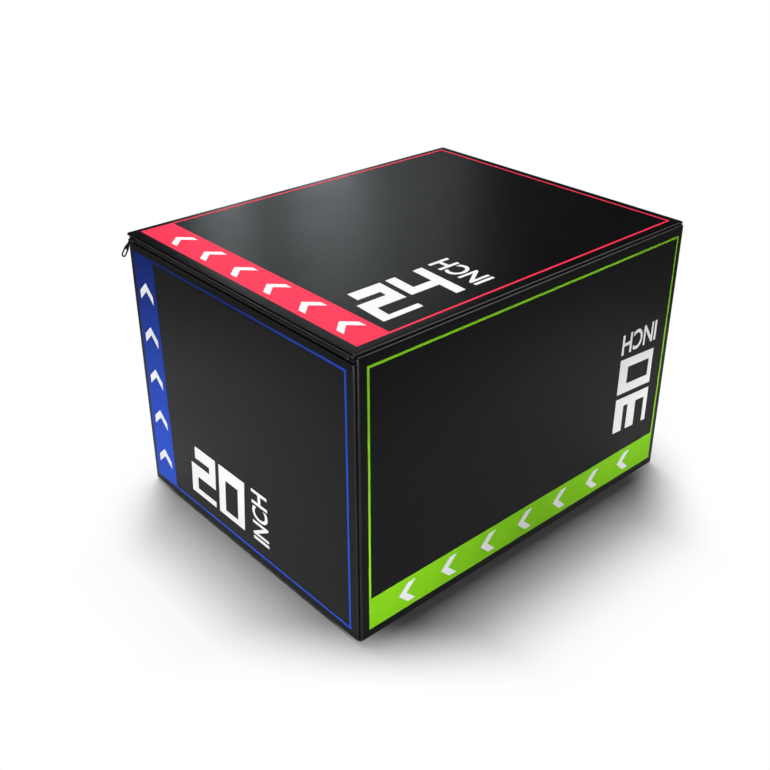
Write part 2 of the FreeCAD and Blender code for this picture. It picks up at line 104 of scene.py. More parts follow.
# Zip
TAPE_THICKNESS = 0.6 * MM
TAPE_END = 12.6 * MM
TAPE_FLARE = 2.0 * MM
TAPE_PARTING = 0.15 * MM
ZIP_TURN = 4.0 * MM
TOOTH_PITCH = 2.0 * MM
TOOTH_LENGTH = 1.15 * MM
TOOTH_ROUND = 0.3 * MM
TOOTH_MESH = 0.35 * MM
COIL_DEPTH = 2.2 * MM

# Camera: angles in degrees, the picture and its focal length in pixels
CAMERA_TURN = -41.68
CAMERA_LIFT = 27.47
CAMERA_DISTANCE = 1.949
CAMERA_TARGET = (-0.0068, 0.0566, 0.254)
CAMERA_SHIFT = -0.05
PICTURE = 770
FOCAL = 1033.8
SENSOR = 36.0

# Floor: distances from the foot of the box between which each effect comes or goes, and its least or most
FLOOR_RADIUS = 20.0
FLOOR_DROP = 0.2 * MM
# The next three shape a white glow that the camera sees on the floor: painted light that lifts the shadow a little
# and ends it sooner past the corners
FADE = (0.23, 0.46)
FADE_LEAST = 0.02
FADE_CORNER = 0.16
# The rest shape what reflections see of the floor: a glow and a whiter colour near the box, a painted reflection,
# with no glow in a thin rim at its foot
REFLECTED_GLOW = (0.16, 0.42)
CLOSE = 0.22
RIM = 0.014
CLOSE_MOST = 0.7
SHINE = (0.1, 0.8)
SHINE_MOST = 0.8

# Room
ROOM_LIGHT = 0.02
HORIZON = 0.05

# Each panel: its node, the body it rides on, and its right and up directions seen from outside
FACES = {
    "lid": ("cover_lid", "lid", (1, 0, 0), (0, 1, 0)),
    "front": ("cover_front", "box", (0, 0, 1), (-1, 0, 0)),
    "left": ("cover_left", "box", (0, -1, 0), (0, 0, 1)),
    "back": ("cover_back", "box", (-1, 0, 0), (0, 0, 1)),
    "right": ("cover_right", "box", (0, 1, 0), (0, 0, 1)),
    "bottom": ("cover_bottom", "box", (1, 0, 0), (0, -1, 0)),
}

# Each printed panel, in millimetres from the left and bottom edges of its face of the box:
# margins are left, bottom, right, top; arrows are count, first centre, pitch, half width; boxes are left, bottom,
# right, top
PRINTS = {
    "lid": dict(ink="red", margins=(20.5, 21.5, 16.8, 13.0), band=63, arrows=(6, 81.8, 87, 20.7),
                number="24", digits=(99, 55, 273, 160.5), word=(288, 55.5, 330.5, 162.5)),
    "front": dict(ink="green", margins=(20, 16, 21.8, 20), band=59.5, arrows=(7, 105.7, 93.1, 19.3),
                  number="30", digits=(121.5, 48.3, 282, 147.8), word=(292, 48, 332, 148.5)),
    "left": dict(ink="blue", margins=(15.5, 18.6, 20.4, 27.6), band=65.2, arrows=(5, 73.5, 84.8, 20.9),
                 number="20", digits=(140, 47.3, 313, 150.2), word=(332.5, 48.5, 376.5, 151.5)),
}


# Node trees

def linear(colour):
    """The linear colour of an sRGB hex value."""
    channels = [int(colour[place:place + 2], 16) / 255 for place in (1, 3, 5)]
    return tuple(c / 12.92 if c <= 0.04045 else ((c + 0.055) / 1.055) ** 2.4 for c in channels) + (1.0,)


def add(tree, kind, inputs=None, **settings):
    """Adds a node with its settings; an input takes a value or a socket to link from."""
    made = tree.nodes.new(kind)
    for name, value in settings.items():
        setattr(made, name, value)
    for name, value in (inputs or {}).items():
        if isinstance(value, bpy.types.NodeSocket):
            tree.links.new(value, made.inputs[name])
        else:
            made.inputs[name].default_value = value
    return made


def new_material(name):
    """A material, its tree, its shader and its Object coordinates."""
    material = bpy.data.materials.new(name)
    material.use_nodes = True
    tree = material.node_tree
    return material, tree, tree.nodes["Principled BSDF"], add(tree, "ShaderNodeTexCoord").outputs["Object"]


def leather_grain(tree, place, strength):
    """Embossed leather grain: pebbles of 1.5 mm, drawn at 4 mm so that they show, in creases of 9 mm."""
    crease = add(tree, "ShaderNodeTexNoise", {"Vector": place, "Scale": 1 / (9.0 * MM), "Detail": 3.0,
                                              "Distortion": 0.8})
    pebbles = add(tree, "ShaderNodeTexVoronoi", {"Vector": place, "Scale": 1 / (4.0 * MM)}, feature="SMOOTH_F1")
    fine = add(tree, "ShaderNodeBump", {"Height": pebbles.outputs["Distance"], "Strength": strength,
                                        "Distance": 0.4 * MM})
    return add(tree, "ShaderNodeBump", {"Height": crease.outputs["Fac"], "Strength": strength,
                                        "Distance": 0.6 * MM, "Normal": fine.outputs["Normal"]})


# Finishes

def pvc_vinyl(name, smooth, rough, gloss):
    """PVC coated on polyester, calendered and embossed: near black, with a soft sheen that the grain breaks up.
    Along the hems the fold stretches the grain flat, which polishes it."""
    material, tree, shader, place = new_material(name)
    cloud = add(tree, "ShaderNodeTexNoise", {"Vector": place, "Scale": 1 / (60.0 * MM), "Detail": 5.0})
    colour = add(tree, "ShaderNodeMix", {"Factor": cloud.outputs["Fac"], "A": linear("#050506"),
                                         "B": linear("#0A0A0B")}, data_type="RGBA")
    worn = add(tree, "ShaderNodeMapRange", {"Value": cloud.outputs["Fac"], "From Min": 0.3, "From Max": 0.7,
                                            "To Min": smooth, "To Max": rough})
    tree.links.new(colour.outputs["Result"], shader.inputs["Base Color"])
    tree.links.new(worn.outputs["Result"], shader.inputs["Roughness"])
    tree.links.new(leather_grain(tree, place, 0.3).outputs["Normal"], shader.inputs["Normal"])
    shader.inputs["IOR"].default_value = 1.5
    shader.inputs["Specular IOR Level"].default_value = gloss
    return material


def vinyl_ink(name, full, thin, gloss, fade=None):
    """Screen-printed vinyl ink: a flat opaque film, a little uneven, with the grain of the sheet showing through.
    fade is a darker colour that it runs to at the top of the box, most at the back: a painted shade, standing in for
    the light falling off there."""
    material, tree, shader, place = new_material(name)
    spread = add(tree, "ShaderNodeTexNoise", {"Vector": place, "Scale": 1 / (35.0 * MM), "Detail": 4.0})
    colour = add(tree, "ShaderNodeMix", {"Factor": spread.outputs["Fac"], "A": linear(full), "B": linear(thin)},
                 data_type="RGBA")
    # The ink darkens with height, most towards the back: a painted shade where the light falls off
    if fade:
        height = add(tree, "ShaderNodeSeparateXYZ", {"Vector": place})
        rise = add(tree, "ShaderNodeMapRange", {"Value": height.outputs["Z"], "From Min": PAINTED_SHADE_RISE[0],
                                                "From Max": PAINTED_SHADE_RISE[1]})
        share = add(tree, "ShaderNodeMapRange", {"Value": height.outputs["Y"], "From Min": PAINTED_SHADE_DEPTH[0],
                                                 "From Max": PAINTED_SHADE_DEPTH[1], "To Min": PAINTED_SHADE_LEAST})
        share = add(tree, "ShaderNodeMath", {0: rise.outputs["Result"], 1: share.outputs["Result"]},
                    operation="MULTIPLY")
        colour = add(tree, "ShaderNodeMix", {"Factor": share.outputs["Value"], "A": colour.outputs["Result"],
                                             "B": linear(fade)}, data_type="RGBA")
    rough = add(tree, "ShaderNodeMapRange", {"Value": spread.outputs["Fac"], "To Min": 0.44, "To Max": 0.56})
    tree.links.new(colour.outputs["Result"], shader.inputs["Base Color"])
    tree.links.new(rough.outputs["Result"], shader.inputs["Roughness"])
    tree.links.new(leather_grain(tree, place, 0.2).outputs["Normal"], shader.inputs["Normal"])
    shader.inputs["IOR"].default_value = 1.5
    shader.inputs["Specular IOR Level"].default_value = gloss
    return material


def scrim_backing():
    """Knitted polyester scrim on the back of the vinyl: matt charcoal, with loops every 1.5 mm drawn at 3 mm, lighter
    on the loops and darker in the gaps between them, a painted shade.
    """
    material, tree, shader, place = new_material("scrim_backing")
    loops = add(tree, "ShaderNodeTexVoronoi", {"Vector": place, "Scale": 1 / (3.0 * MM), "Randomness": 0.25})
    # Darker between the loops, where they sink: painted shade
    colour = add(tree, "ShaderNodeMix", {"Factor": loops.outputs["Distance"], "A": linear("#4A4A4C"),
                                         "B": linear("#262628")}, data_type="RGBA")
    bump = add(tree, "ShaderNodeBump", {"Height": loops.outputs["Distance"], "Strength": 0.6, "Distance": 0.5 * MM},
               invert=True)
    tree.links.new(colour.outputs["Result"], shader.inputs["Base Color"])
    tree.links.new(bump.outputs["Normal"], shader.inputs["Normal"])
    shader.inputs["Roughness"].default_value = 0.9
    shader.inputs["Sheen Weight"].default_value = 0.25
    return material


def polyurethane_foam():
    """Cut polyurethane foam: pale grey, matt, with open cells of 1 mm drawn at 2.5 mm and a yellowing skin. The cells
    are drawn darker towards their middles, a painted shade in their hollows.
    """
    material, tree, shader, place = new_material("polyurethane_foam")
    cells = add(tree, "ShaderNodeTexVoronoi", {"Vector": place, "Scale": 1 / (2.5 * MM)})
    age = add(tree, "ShaderNodeTexNoise", {"Vector": place, "Scale": 1 / (90.0 * MM), "Detail": 4.0})
    skin = add(tree, "ShaderNodeMix", {"Factor": age.outputs["Fac"], "A": linear("#BDB9AE"),
                                       "B": linear("#A9A391")}, data_type="RGBA")
    # Darker towards the middle of each cell: painted shade in the hollow of the open cell
    depth = add(tree, "ShaderNodeMapRange", {"Value": cells.outputs["Distance"], "From Max": 0.6})
    colour = add(tree, "ShaderNodeMix", {"Factor": depth.outputs["Result"], "A": linear("#7E7A6E"),
                                         "B": skin.outputs["Result"]}, data_type="RGBA")
    bump = add(tree, "ShaderNodeBump", {"Height": cells.outputs["Distance"], "Strength": 0.7, "Distance": 0.8 * MM})
    tree.links.new(colour.outputs["Result"], shader.inputs["Base Color"])
    tree.links.new(bump.outputs["Normal"], shader.inputs["Normal"])
    shader.inputs["Roughness"].default_value = 0.95
    shader.inputs["Specular IOR Level"].default_value = 0.2
    return material


def birch_plywood(across):
    """Sanded birch plywood: pale straight figure on the faces, and plies of 1.5 mm, light and dark in turn, on
    the edges. across is the axis of the board's thickness."""
    material, tree, shader, place = new_material("birch_plywood_" + "xyz"[across])
    along = 2 if across < 2 else 0
    stretch = [1 / (7.0 * MM)] * 3
    stretch[along] = 1 / (140.0 * MM)
    drawn = add(tree, "ShaderNodeMapping", {"Vector": place, "Scale": stretch})
    figure = add(tree, "ShaderNodeTexNoise", {"Vector": drawn.outputs["Vector"], "Scale": 1.0, "Detail": 6.0,
                                              "Distortion": 0.6})
    face = add(tree, "ShaderNodeMix", {"Factor": figure.outputs["Fac"], "A": linear("#D9BE92"),
                                       "B": linear("#B58E5B")}, data_type="RGBA")
    plies = add(tree, "ShaderNodeTexWave", {"Vector": place, "Scale": 0.314 / (3.0 * MM), "Distortion": 0.4,
                                            "Detail": 2.0}, bands_direction="XYZ"[across])
    edge = add(tree, "ShaderNodeMix", {"Factor": plies.outputs["Fac"], "A": linear("#6E4A28"),
                                       "B": linear("#CDAA78")}, data_type="RGBA")
    turn = add(tree, "ShaderNodeSeparateXYZ", {"Vector": add(tree, "ShaderNodeNewGeometry").outputs["Normal"]})
    flat = add(tree, "ShaderNodeMath", {0: turn.outputs[across]}, operation="ABSOLUTE")
    colour = add(tree, "ShaderNodeMix", {"Factor": flat.outputs["Value"], "A": edge.outputs["Result"],
                                         "B": face.outputs["Result"]}, data_type="RGBA")
    bump = add(tree, "ShaderNodeBump", {"Height": figure.outputs["Fac"], "Strength": 0.3, "Distance": 0.3 * MM})
    tree.links.new(colour.outputs["Result"], shader.inputs["Base Color"])
    tree.links.new(bump.outputs["Normal"], shader.inputs["Normal"])
    shader.inputs["Roughness"].default_value = 0.6
    return material


def polyester_tape():
    """Woven polyester zip tape: matt black, with threads of 0.5 mm drawn at 1 mm, crossing; lighter where the threads
    rise and darker in the dips between them, a painted shade.
    """
    material, tree, shader, place = new_material("polyester_tape")
    turned = add(tree, "ShaderNodeMapping", {"Vector": place, "Rotation": (0.0, 0.0, math.radians(45))})
    pick = add(tree, "ShaderNodeTexWave", {"Vector": turned.outputs["Vector"], "Scale": 0.314 / (0.7 * MM)},
               bands_direction="X")
    warp = add(tree, "ShaderNodeTexWave", {"Vector": place, "Scale": 0.314 / (1.0 * MM)}, bands_direction="Z")
    weave = add(tree, "ShaderNodeMath", {0: pick.outputs["Fac"], 1: warp.outputs["Fac"]}, operation="MULTIPLY")
    # Darker where the weave dips: painted shade
    colour = add(tree, "ShaderNodeMix", {"Factor": weave.outputs["Value"], "A": linear("#070707"),
                                         "B": linear("#141415")}, data_type="RGBA")
    bump = add(tree, "ShaderNodeBump", {"Height": weave.outputs["Value"], "Strength": 0.6, "Distance": 0.2 * MM})
    tree.links.new(colour.outputs["Result"], shader.inputs["Base Color"])
    tree.links.new(bump.outputs["Normal"], shader.inputs["Normal"])
    shader.inputs["Roughness"].default_value = 0.85
    shader.inputs["Specular IOR Level"].default_value = 0.15
    return material


def nylon_coil():
    """Drawn nylon monofilament, dyed black: a satin gloss with faint die lines of 0.2 mm drawn at 0.6 mm."""
    material, tree, shader, place = new_material("nylon_coil")
    lines = add(tree, "ShaderNodeTexNoise", {"Vector": place, "Scale": 1 / (0.6 * MM), "Detail": 2.0})
    colour = add(tree, "ShaderNodeMix", {"Factor": lines.outputs["Fac"], "A": linear("#0A0A0B"),
                                         "B": linear("#131314")}, data_type="RGBA")
    rough = add(tree, "ShaderNodeMapRange", {"Value": lines.outputs["Fac"], "To Min": 0.28, "To Max": 0.45})
    tree.links.new(colour.outputs["Result"], shader.inputs["Base Color"])
    tree.links.new(rough.outputs["Result"], shader.inputs["Roughness"])
    shader.inputs["IOR"].default_value = 1.53
    shader.inputs["Specular IOR Level"].default_value = 0.2
    return material


def enamelled_zinc():
    """Die-cast zinc under baked black enamel: glossy and slightly orange-peeled, with grey metal where it has
    rubbed through in specks of 1 mm."""
    material, tree, shader, place = new_material("enamelled_zinc")
    rubs = add(tree, "ShaderNodeTexNoise", {"Vector": place, "Scale": 1 / (1.0 * MM), "Detail": 4.0})
    bare = add(tree, "ShaderNodeMapRange", {"Value": rubs.outputs["Fac"], "From Min": 0.68, "From Max": 0.74})
    colour = add(tree, "ShaderNodeMix", {"Factor": bare.outputs["Result"], "A": linear("#131314"),
                                         "B": linear("#77787A")}, data_type="RGBA")
    peel = add(tree, "ShaderNodeTexNoise", {"Vector": place, "Scale": 1 / (0.8 * MM)})
    bump = add(tree, "ShaderNodeBump", {"Height": peel.outputs["Fac"], "Strength": 0.15, "Distance": 0.1 * MM})
    tree.links.new(colour.outputs["Result"], shader.inputs["Base Color"])
    tree.links.new(bare.outputs["Result"], shader.inputs["Metallic"])
    tree.links.new(bump.outputs["Normal"], shader.inputs["Normal"])
    shader.inputs["Roughness"].default_value = 0.3
    return material


# Shaping

def cut(mesh, axis, places):
    """Cuts a mesh through by planes across one axis."""
    for place in places:
        point, across = Vector(), Vector()
        point[axis], across[axis] = place, 1
        everything = mesh.verts[:] + mesh.edges[:] + mesh.faces[:]
        bmesh.ops.bisect_plane(mesh, geom=everything, dist=1e-7, plane_co=point, plane_no=across)


def cut_grid(mesh, axes, step):
    """Cuts a mesh by evenly spaced planes, so that its flat faces can follow a rippled surface."""
    for axis in axes:
        low = min(vert.co[axis] for vert in mesh.verts)
        high = max(vert.co[axis] for vert in mesh.verts)
        first, last = math.ceil(low / step), math.floor(high / step)
        cut(mesh, axis, [number * step for number in range(first, last + 1)])


def soften(mesh, edges, size, steps):
    """Rounds edges of a mesh."""
    bmesh.ops.bevel(mesh, geom=edges, offset=size, segments=steps, profile=0.5, affect="EDGES", material=-1)


def only(kind, parts):
    """Those parts of a mesh that are of one kind."""
    return [part for part in parts if isinstance(part, kind)]


def settle(name, mesh, materials, body, place=Matrix.Identity(4), crease=40):
    """Turns a finished bmesh into a piece that rides on a body, with its place in its mesh."""
    data = bpy.data.meshes.new(name)
    for face in mesh.faces:
        face.smooth = True
    mesh.to_mesh(data)
    mesh.free()
    data.transform(place)
    data.set_sharp_from_angle(angle=math.radians(crease))
    for material in materials:
        data.materials.append(material)
    piece = bpy.data.objects.new(name, data)
    bpy.context.scene.collection.objects.link(piece)
    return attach(piece, body)


def facing(face):
    """From a face's own right, up and out axes to the box, with the middle of that face of the box as origin."""
    right, up = Vector(FACES[face][2]), Vector(FACES[face][3])
    out = right.cross(up)
    middle = (BOX_LOW + BOX_HIGH) / 2
    reach = (BOX_HIGH - BOX_LOW) / 2
    origin = middle + Vector(o * r for o, r in zip(out, reach))
    return Matrix.Translation(origin) @ Matrix((right, up, out)).transposed().to_4x4()


def panel_edges(face):
    """Lowest and highest corner of a panel along its own right, up and out axes."""
    back = facing(face).inverted()
    corners = [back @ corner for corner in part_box(FACES[face][0])]
    return Vector(map(min, *corners)), Vector(map(max, *corners))


def ripple(face, u, v):
    """How far a stretched panel stands off its plane: shallow waves that die out towards the hems."""
    low, high = EDGES[face]
    margin = min(u - low.x, high.x - u, v - low.y, high.y - v)
    share = min(max(margin / RIPPLE_FADE, 0.0), 1.0)
    hold = share * share * (3 - 2 * share)
    seed = list(FACES).index(face) * RIPPLE_APART
    wave = noise.noise(Vector((u / RIPPLE_LENGTH, v / RIPPLE_LENGTH, seed)))
    return RIPPLE * hold * (wave if face != "bottom" else -abs(wave))


# Cover

def sewn_panel(face, vinyl, backing, fold):
    """One stretched panel: a thin sheet with round corners and a rolled hem, hollow behind."""
    node, body = FACES[face][:2]
    low, high = EDGES[face]
    size = high - low
    mesh = bmesh.new()
    slab = Matrix.Translation((low + high) / 2) @ Matrix.Diagonal((size.x, size.y, size.z, 1.0))
    bmesh.ops.create_cube(mesh, size=1.0, matrix=slab)
    posts = [edge for edge in mesh.edges if abs(edge.verts[0].co.z - edge.verts[1].co.z) > size.z / 2]
    soften(mesh, posts, HEM_CORNER, HEM_STEPS)
    rims = [edge for edge in mesh.edges if abs(edge.verts[0].co.z - edge.verts[1].co.z) < size.z / 2]
    soften(mesh, rims, HEM_ROUND, HEM_STEPS)
    inside = max((f for f in mesh.faces if f.normal.z < -0.9), key=lambda f: f.calc_area())
    bmesh.ops.inset_region(mesh, faces=[inside], thickness=size.z / 2, depth=-(size.z - SHEET), use_even_offset=True)
    inside.material_index = 1
    cut_grid(mesh, (0, 1), GRID_STEP)
    for part in mesh.faces:
        x, y, _ = part.calc_center_median()
        if min(x - low.x, high.x - x, y - low.y, high.y - y) < HEM_ROUND:
            part.material_index = 2
    for vert in mesh.verts:
        if vert.co.z > -2 * SHEET:
            vert.co.z += ripple(face, vert.co.x, vert.co.y)
    bmesh.ops.recalc_face_normals(mesh, faces=mesh.faces[:])
    piece = settle(node + "_vinyl", mesh, [vinyl, backing, fold], body, facing(face))
    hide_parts(node)
    return piece


# Print

def outline(mesh, points):
    """A flat shape from the few corners of its outline."""
    mesh.faces.new([mesh.verts.new((x, y, 0.0)) for x, y in points])


def ring(mesh, outer, hole):
    """A flat rectangle with a rectangular hole, each given as left, bottom, right, top."""
    left, bottom, right, top = outer
    place = Matrix.Translation(((left + right) / 2, (bottom + top) / 2, 0.0))
    spread = Matrix.Diagonal((right - left, top - bottom, 1.0, 1.0))
    bmesh.ops.create_grid(mesh, x_segments=1, y_segments=1, size=0.5, matrix=place @ spread)
    cut(mesh, 0, (hole[0], hole[2]))
    cut(mesh, 1, (hole[1], hole[3]))
    inner = []
    for face in mesh.faces:
        x, y, _ = face.calc_center_median()
        if hole[0] < x < hole[2] and hole[1] < y < hole[3]:
            inner.append(face)
    bmesh.ops.delete(mesh, geom=inner, context="FACES")


def digit(mesh, figure):
    """One block digit in millimetres, its lower left corner at the origin."""
    base, foot, low, middle, high, top = DIGIT_ROWS
    wide, stem = DIGIT_WIDTH, DIGIT_STEM
    right = wide - stem
    if figure == "0":
        ring(mesh, (0, base, wide, top), (stem, foot, right, high))
    elif figure == "2":
        outline(mesh, [(0, base), (wide, base), (wide, foot), (stem, foot), (stem, low), (wide, low), (wide, top),
                       (DIGIT_HOOK, top), (DIGIT_HOOK, high), (right, high), (right, middle), (0, middle)])
    elif figure == "3":
        outline(mesh, [(0, base), (wide, base), (wide, top), (0, top), (0, high), (right, high), (right, middle),
                       (0, middle), (0, low), (right, low), (right, foot), (0, foot)])
    else:
        bar = low + DIGIT_CROSSBAR
        outline(mesh, [(0, low), (right, low), (right, base), (wide, base), (wide, top), (right, top), (right, bar),
                       (stem, bar), (stem, top), (0, top)])


def merge(mesh, other):
    """Adds one bmesh to another."""
    data = bpy.data.meshes.new("part")
    other.to_mesh(data)
    other.free()
    mesh.from_mesh(data)
    bpy.data.meshes.remove(data)


def fit(mesh, box):
    """Moves and scales flat shapes to fill a box given as left, bottom, right, top."""
    low = Vector((min(v.co.x for v in mesh.verts), min(v.co.y for v in mesh.verts), 0.0))
    high = Vector((max(v.co.x for v in mesh.verts), max(v.co.y for v in mesh.verts), 0.0))
    left, bottom, right, top = box
    scale = Matrix.Diagonal(((right - left) / (high.x - low.x), (top - bottom) / (high.y - low.y), 1.0, 1.0))
    place = Matrix.Translation((left, bottom, 0.0)) @ scale @ Matrix.Translation(-low)
    bmesh.ops.transform(mesh, matrix=place, verts=mesh.verts)


def number_shapes(figures, box):
    """Two leaning block digits that fill a box."""
    mesh = bmesh.new()
    for order, figure in enumerate(figures):
        one = bmesh.new()
        digit(one, figure)
        bmesh.ops.translate(one, verts=one.verts, vec=(order * (DIGIT_WIDTH + DIGIT_GAP), 0.0, 0.0))
        merge(mesh, one)
    lean = Matrix.Identity(4)
    lean[0][1] = math.tan(math.radians(DIGIT_LEAN))
    bmesh.ops.transform(mesh, matrix=lean, verts=mesh.verts)
    fit(mesh, box)
    return mesh


def letter(character):
    """One plain capital as a flat shape, turned to read upwards."""
    curve = bpy.data.curves.new("letter", "FONT")
    curve.body = character
    curve.offset = LETTER_BOLD
    written = bpy.data.objects.new("letter", curve)
    bpy.context.scene.collection.objects.link(written)
    data = bpy.data.meshes.new_from_object(written.evaluated_get(bpy.context.evaluated_depsgraph_get()))
    mesh = bmesh.new()
    mesh.from_mesh(data)
    bpy.data.objects.remove(written)
    bpy.data.curves.remove(curve)
    bpy.data.meshes.remove(data)
    bmesh.ops.remove_doubles(mesh, verts=mesh.verts, dist=1e-5)
    bmesh.ops.rotate(mesh, verts=mesh.verts, cent=(0, 0, 0), matrix=Matrix.Rotation(math.pi / 2, 3, "Z"))
    return mesh


def word_shapes(box):
    """The unit word in plain capitals that fills a box, each letter in its place along it."""
    mesh = bmesh.new()
    for character, (start, end) in LETTERS.items():
        one = letter(character)
        fit(one, (0.0, start, 1.0, end))
        merge(mesh, one)
    fit(mesh, box)
    return mesh


def arrow_shapes(middle, arrows):
    """A column of arrowheads that point up."""
    mesh = bmesh.new()
    count, first, pitch, half = arrows
    rise, thick = ARROW_RISE, ARROW_THICKNESS
    for order in range(count):
        centre = first + order * pitch
        tip = centre + thick
        outline(mesh, [(middle, tip), (middle - half, tip - rise), (middle - half, tip - rise - thick),
                       (middle, tip - thick), (middle + half, tip - rise - thick), (middle + half, tip - rise)])
    return mesh


def lay_film(name, face, mesh, layer, ink):
    """Lays flat shapes, in millimetres from a face's lower left corner, on the panel as a closed film of ink, which
    throws no colour on the floor."""
    reach = (BOX_HIGH - BOX_LOW) / 2
    right, up = Vector(FACES[face][2]), Vector(FACES[face][3])
    corner = Vector((-abs(right.dot(reach)), -abs(up.dot(reach)), 0.0))
    bmesh.ops.transform(mesh, matrix=Matrix.Translation(corner) @ Matrix.Scale(MM, 4), verts=mesh.verts)
    cut_grid(mesh, (0, 1), GRID_STEP)
    lifted = bmesh.ops.extrude_face_region(mesh, geom=mesh.faces[:], use_keep_orig=True)["geom"]
    upper = set(only(bmesh.types.BMVert, lifted))
    for vert in mesh.verts:
        stand = layer * FILM if vert in upper else (layer - FILM_SUNK) * FILM
        vert.co.z = ripple(face, vert.co.x, vert.co.y) + stand
    bmesh.ops.recalc_face_normals(mesh, faces=mesh.faces[:])
    film = settle(name, mesh, [ink], FACES[face][1], facing(face))
    film.visible_diffuse = False
    return film


def print_panel(face, colour, white):
    """The border with its band, the arrowheads on the band, and the number with its unit."""
    look = PRINTS[face]
    reach = BOX_HIGH - BOX_LOW
    wide = abs(Vector(FACES[face][2]).dot(reach)) / MM
    tall = abs(Vector(FACES[face][3]).dot(reach)) / MM
    left, bottom, right, top = look["margins"]
    outer = (left, bottom, wide - right, tall - top)
    band = look["band"]
    border = bmesh.new()
    ring(border, outer, (left + band, bottom + LINE, wide - right - LINE, tall - top - LINE))
    arrows = arrow_shapes(left + band / 2, look["arrows"])
    number = number_shapes(look["number"], look["digits"])
    merge(number, word_shapes(look["word"]))
    return [
        lay_film(f"print_{face}_border", face, border, 1, colour),
        lay_film(f"print_{face}_arrows", face, arrows, 2, white),
        lay_film(f"print_{face}_number", face, number, 1, white),
    ]


# Inside

def foam_slab(node, foam):
    """A cut foam pad: the pad's own form with its edges softened and its faces a little uneven."""
    mesh = bmesh.new()
    mesh.from_mesh(frame["nodes"][node].data)
    bmesh.ops.remove_doubles(mesh, verts=mesh.verts, dist=1e-6)
    bmesh.ops.dissolve_limit(mesh, angle_limit=math.radians(1), verts=mesh.verts[:], edges=mesh.edges[:])
    soften(mesh, mesh.edges[:], FOAM_EDGE, 3)
    cut_grid(mesh, (0, 1, 2), 2 * GRID_STEP)
    mesh.normal_update()
    dips = [-FOAM_DIP * abs(noise.noise(vert.co * FOAM_DIPS_PER_METRE)) for vert in mesh.verts]
    for vert, dip in zip(mesh.verts, dips):
        vert.co += vert.normal * dip
    piece = settle(node + "_cut", mesh, [foam], "box", crease=60)
    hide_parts(node)
    return piece


# Zip

def woven_tape(node, body, tape):
    """A zip tape that stands on its edge on three sides, swept round the two back corners. Past the end stops it
    widens to close the end of the zip."""
    low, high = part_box(node)
    seam = (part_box("zip_tape_lower")[1].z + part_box("zip_tape_upper")[0].z) / 2
    plain = (low.z, high.z)
    wide = (seam + TAPE_PARTING, high.z) if node.endswith("upper") else (low.z, seam - TAPE_PARTING)
    mesh = bmesh.new()
    start = Matrix.Translation((low.x + TAPE_THICKNESS / 2, low.y - TAPE_END, sum(wide) / 2))
    stand = Matrix.Rotation(math.pi / 2, 4, "X") @ Matrix.Diagonal((TAPE_THICKNESS, wide[1] - wide[0], 1.0, 1.0))
    bmesh.ops.create_grid(mesh, x_segments=1, y_segments=3, size=0.5, matrix=start @ stand)
    outer = ZIP_TURN + TAPE_THICKNESS / 2

    def run(section, way, reach):
        grown = bmesh.ops.extrude_face_region(mesh, geom=section)["geom"]
        verts = only(bmesh.types.BMVert, grown)
        bottom, top = min(v.co.z for v in verts), max(v.co.z for v in verts)
        for vert in verts:
            vert.co.y += way[1]
            vert.co.x += way[0]
            vert.co.z = reach[0] + (vert.co.z - bottom) / (top - bottom) * (reach[1] - reach[0])
        return only(bmesh.types.BMFace, grown)

    def turn(section, centre):
        swept = bmesh.ops.spin(mesh, geom=section, cent=centre, axis=(0, 0, 1), angle=-math.pi / 2, steps=8)
        return only(bmesh.types.BMFace, swept["geom_last"])

    section = run(mesh.faces[:], (0.0, TAPE_END - TAPE_FLARE), wide)
    section = run(section, (0.0, TAPE_FLARE), plain)
    section = run(section, (0.0, high.y - outer - low.y), plain)
    section = turn(section, (low.x + outer, high.y - outer, 0.0))
    section = run(section, (high.x - low.x - 2 * outer, 0.0), plain)
    section = turn(section, (high.x - outer, high.y - outer, 0.0))
    section = run(section, (0.0, low.y - high.y + outer), plain)
    section = run(section, (0.0, -TAPE_FLARE), wide)
    run(section, (0.0, TAPE_FLARE - TAPE_END), wide)
    bmesh.ops.remove_doubles(mesh, verts=mesh.verts, dist=1e-7)
    bmesh.ops.recalc_face_normals(mesh, faces=mesh.faces[:])
    piece = settle(node + "_woven", mesh, [tape], body)
    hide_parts(node)
    return piece


def tooth(low, high):
    """One loop of the coil seen from outside: a short rounded bar."""
    mesh = bmesh.new()
    place = Matrix.Translation((0.0, 0.0, (low + high) / 2))
    bar = Matrix.Diagonal((TOOTH_LENGTH, COIL_DEPTH, high - low, 1.0))
    bmesh.ops.create_cube(mesh, size=1.0, matrix=place @ bar)
    soften(mesh, mesh.edges[:], TOOTH_ROUND, 1)
    return mesh


def coil_places(node):
    """Where the teeth of a chain stand: points and headings along its run, round the corner where it has one."""
    low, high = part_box(node)
    if node.endswith("left"):
        x = (low.x + high.x) / 2
        count = int((high.y - low.y) / TOOTH_PITCH)
        return [(Vector((x, low.y + (n + 0.5) * TOOTH_PITCH, 0.0)), math.pi / 2) for n in range(count)]
    x, y = high.x - COIL_DEPTH / 2, high.y - COIL_DEPTH / 2
    back = x - ZIP_TURN - low.x
    bend = ZIP_TURN * math.pi / 2
    side = y - ZIP_TURN - low.y
    places = []
    for n in range(int((back + bend + side) / TOOTH_PITCH)):
        s = (n + 0.5) * TOOTH_PITCH
        if s < back:
            places.append((Vector((low.x + s, y, 0.0)), 0.0))
        elif s < back + bend:
            angle = (s - back) / ZIP_TURN
            round_way = Vector((math.sin(angle), math.cos(angle), 0.0)) * ZIP_TURN
            places.append((Vector((x - ZIP_TURN, y - ZIP_TURN, 0.0)) + round_way, -angle))
        else:
            places.append((Vector((x, y - ZIP_TURN - (s - back - bend), 0.0)), -math.pi / 2))
    return places


